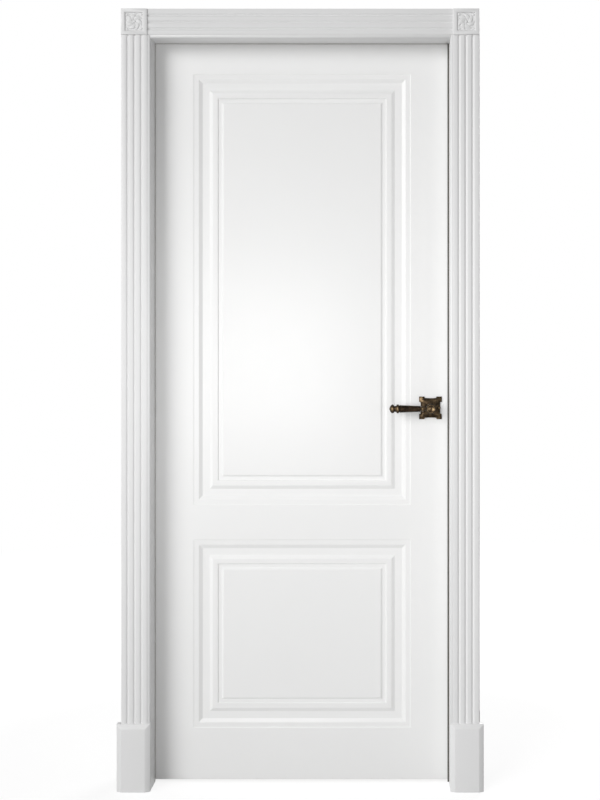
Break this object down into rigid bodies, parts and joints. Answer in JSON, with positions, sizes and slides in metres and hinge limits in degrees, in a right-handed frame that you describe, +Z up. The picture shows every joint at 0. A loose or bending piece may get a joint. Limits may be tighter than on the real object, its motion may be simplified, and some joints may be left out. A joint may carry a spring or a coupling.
{
  "type": "interior door with frame",
  "caption": "White lacquered panelled door leaf hung in a frame with grooved casings, carved corner blocks, plinth blocks and a dark bronze lever set on square roses.",
  "frame": {"origin": "floor level, in the middle of the opening's width and of the jambs' depth", "axes": "+Z up, +X from the hinge side to the lock side, +Y through the wall to the side the leaf opens to"},
  "size_m": [0.987, 0.182, 2.114],
  "materials": {
    "leaf_lacquer": "satin white lacquer on board",
    "frame_lacquer": "satin white lacquer on wood",
    "pine": "planed pine",
    "chipboard": "raw chipboard",
    "antique_bronze": "dark bronze patina, rubbed edges",
    "zinc_steel": "zinc-plated steel",
    "seal_rubber": "soft brown-grey seal",
    "black_plastic": "moulded"
  },
  "bodies": {
    "frame": {"hinge_jamb": "frame_lacquer", "lock_jamb": "frame_lacquer", "head_jamb": "frame_lacquer", "jamb_corner_screws": "zinc_steel", "hinge_side_seal": "seal_rubber", "lock_side_seal": "seal_rubber", "head_seal": "seal_rubber", "front_left_casing": "frame_lacquer", "front_right_casing": "frame_lacquer", "front_head_casing": "frame_lacquer", "back_left_casing": "frame_lacquer", "back_right_casing": "frame_lacquer", "back_head_casing": "frame_lacquer", "front_left_corner_block": "frame_lacquer", "front_right_corner_block": "frame_lacquer", "back_left_corner_block": "frame_lacquer", "back_right_corner_block": "frame_lacquer", "front_left_plinth": "frame_lacquer", "front_right_plinth": "frame_lacquer", "back_left_plinth": "frame_lacquer", "back_right_plinth": "frame_lacquer", "strike_plate": "zinc_steel", "strike_box": "black_plastic", "strike_screws": "zinc_steel", "lower_hinge_frame_leaf": "zinc_steel", "middle_hinge_frame_leaf": "zinc_steel", "upper_hinge_frame_leaf": "zinc_steel", "lower_hinge_pin": "zinc_steel", "middle_hinge_pin": "zinc_steel", "upper_hinge_pin": "zinc_steel", "hinge_frame_screws": "zinc_steel"},
    "leaf": {"lower_hinge_door_leaf": "zinc_steel", "middle_hinge_door_leaf": "zinc_steel", "upper_hinge_door_leaf": "zinc_steel", "hinge_door_screws": "zinc_steel", "front_skin": "leaf_lacquer", "back_skin": "leaf_lacquer", "hinge_stile": "pine", "lock_stile": "pine", "top_rail": "pine", "lock_rail": "pine", "bottom_rail": "pine", "upper_core": "chipboard", "lower_core": "chipboard", "latch_case": "zinc_steel", "latch_case_cover": "zinc_steel", "latch_forend": "zinc_steel", "forend_screws": "zinc_steel", "latch_spring": "zinc_steel", "front_rose": "antique_bronze", "back_rose": "antique_bronze", "front_rose_plate": "zinc_steel", "back_rose_plate": "zinc_steel", "rose_screws": "zinc_steel"},
    "handle": {"front_lever": "antique_bronze", "back_lever": "antique_bronze", "spindle": "zinc_steel", "follower": "zinc_steel", "lever_grub_screws": "zinc_steel"},
    "latch": {"latch_bolt": "zinc_steel"}
  },
  "joints": [
    {"name": "door_swing", "type": "hinge", "parent": "frame", "child": "leaf", "pos_m": [-0.414, 0.057, 0], "axis": [0, 0, 1], "range_deg": [0, 110]},
    {"name": "lever_turn", "type": "hinge", "parent": "leaf", "child": "handle", "pos_m": [0.3525, 0.029, 1.027], "axis": [0, -1, 0], "range_deg": [0, 40], "stiffness_Nm_per_rad": 1.5, "springref_deg": -34.38},
    {"name": "latch_slide", "type": "slide", "parent": "leaf", "child": "latch", "axis": [-1, 0, 0], "range_m": [0, 0.01189], "deforming": ["latch_spring"]}
  ],
  "couplings": [
    {"joint": "latch_slide", "follows": "lever_turn", "m_per_rad": 0.01703}
  ]
}
